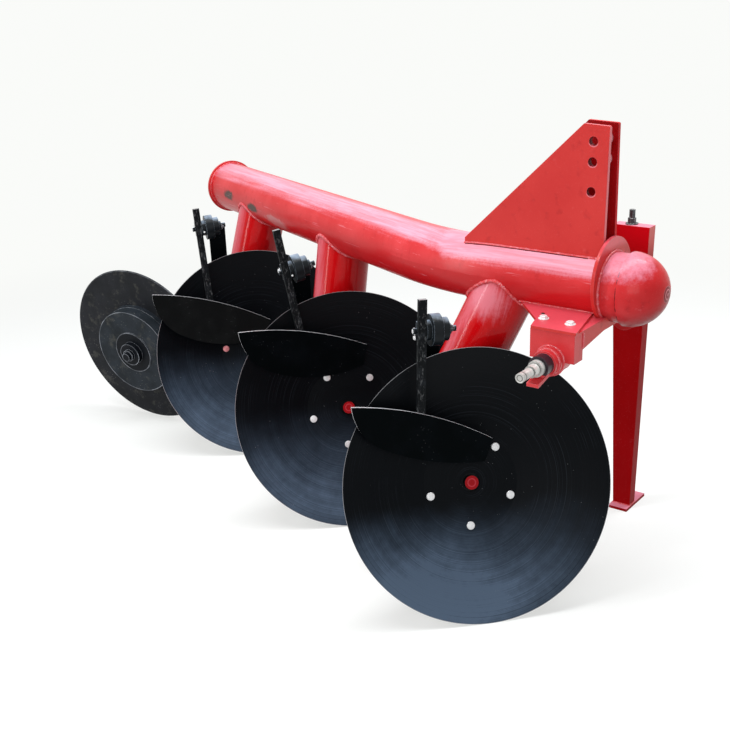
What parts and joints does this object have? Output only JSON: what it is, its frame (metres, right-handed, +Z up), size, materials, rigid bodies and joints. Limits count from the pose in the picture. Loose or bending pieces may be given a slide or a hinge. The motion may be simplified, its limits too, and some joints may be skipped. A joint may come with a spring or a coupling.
{
  "type": "mounted disc plough",
  "caption": "Mounted disc plough: bent tubular beam, leaning tube legs, dished discs with scrapers, two-plate mast, lower hitch pins, folding stand and rear furrow wheel.",
  "frame": {"origin": "on the ground under the middle of the plough's bounding box", "axes": "+Y forward along the front part of the beam, +X to the plough's right, +Z up"},
  "size_m": [1.1187, 2.1848, 1.141],
  "materials": {
    "red_paint": "gloss enamel",
    "disc_paint": "thin gloss black with turning grooves",
    "black_paint": "satin black",
    "dark_steel": "dull dark grey",
    "clamp_iron": "blue-grey casting",
    "zinc": "zinc plated"
  },
  "bodies": {
    "frame": {"beam_end_plate": "red_paint", "bearing_housing_1": "red_paint", "bearing_housing_2": "red_paint", "bearing_housing_3": "red_paint", "dome_cap": "red_paint", "front_collar": "red_paint", "furrow_wheel_arm": "red_paint", "hitch_box_left": "red_paint", "hitch_box_right": "red_paint", "hitch_bracket_left": "red_paint", "hitch_bracket_right": "red_paint", "hitch_cross_bar": "red_paint", "hitch_pin_left": "zinc", "hitch_pin_right": "zinc", "main_beam": "red_paint", "mast_plate_left": "red_paint", "mast_plate_right": "red_paint", "scraper_arm_1": "black_paint", "scraper_arm_2": "black_paint", "scraper_arm_3": "black_paint", "scraper_blade_1": "black_paint", "scraper_blade_2": "black_paint", "scraper_blade_3": "black_paint", "scraper_clamp_1": "clamp_iron", "scraper_clamp_2": "clamp_iron", "scraper_clamp_3": "clamp_iron", "scraper_stem_1": "black_paint", "scraper_stem_2": "black_paint", "scraper_stem_3": "black_paint", "stand_bracket": "red_paint", "standard_1": "red_paint", "standard_2": "red_paint", "standard_3": "red_paint"},
    "disc_unit_1": {"disc_1": "disc_paint", "hub_1": "red_paint"},
    "disc_unit_2": {"disc_2": "disc_paint", "hub_2": "red_paint"},
    "disc_unit_3": {"disc_3": "disc_paint", "hub_3": "red_paint"},
    "stand": {"stand_foot": "red_paint", "stand_leg": "red_paint", "stand_top_bolt": "dark_steel"},
    "wheel_spindle": {"furrow_wheel_spindle": "red_paint"},
    "furrow_wheel": {"furrow_wheel_disc": "dark_steel", "furrow_wheel_drum": "dark_steel"}
  },
  "joints": [
    {"name": "disc_1_spin", "type": "hinge", "parent": "frame", "child": "disc_unit_1", "pos_m": [0.3039, 0.76237, 0.31276], "axis": [0.633, 0.7054, 0.319], "continuous": true},
    {"name": "disc_2_spin", "type": "hinge", "parent": "frame", "child": "disc_unit_2", "pos_m": [0.07332, 0.20844, 0.31276], "axis": [0.633, 0.7054, 0.319], "continuous": true},
    {"name": "disc_3_spin", "type": "hinge", "parent": "frame", "child": "disc_unit_3", "pos_m": [-0.15726, -0.34548, 0.31276], "axis": [0.633, 0.7054, 0.319], "continuous": true},
    {"name": "stand_fold", "type": "hinge", "parent": "frame", "child": "stand", "pos_m": [-0.37911, 0.82384, 0.69], "axis": [-1, 0, 0], "range_deg": [0, 90]},
    {"name": "furrow_wheel_swivel", "type": "hinge", "parent": "frame", "child": "wheel_spindle", "pos_m": [-0.16906, -0.82691, 0.29083], "axis": [0, 0, 1], "range_deg": [-15, 4]},
    {"name": "furrow_wheel_spin", "type": "hinge", "parent": "wheel_spindle", "child": "furrow_wheel", "pos_m": [-0.0791, -0.81523, 0.27549], "axis": [0.9778, 0.127, -0.1668], "continuous": true}
  ]
}
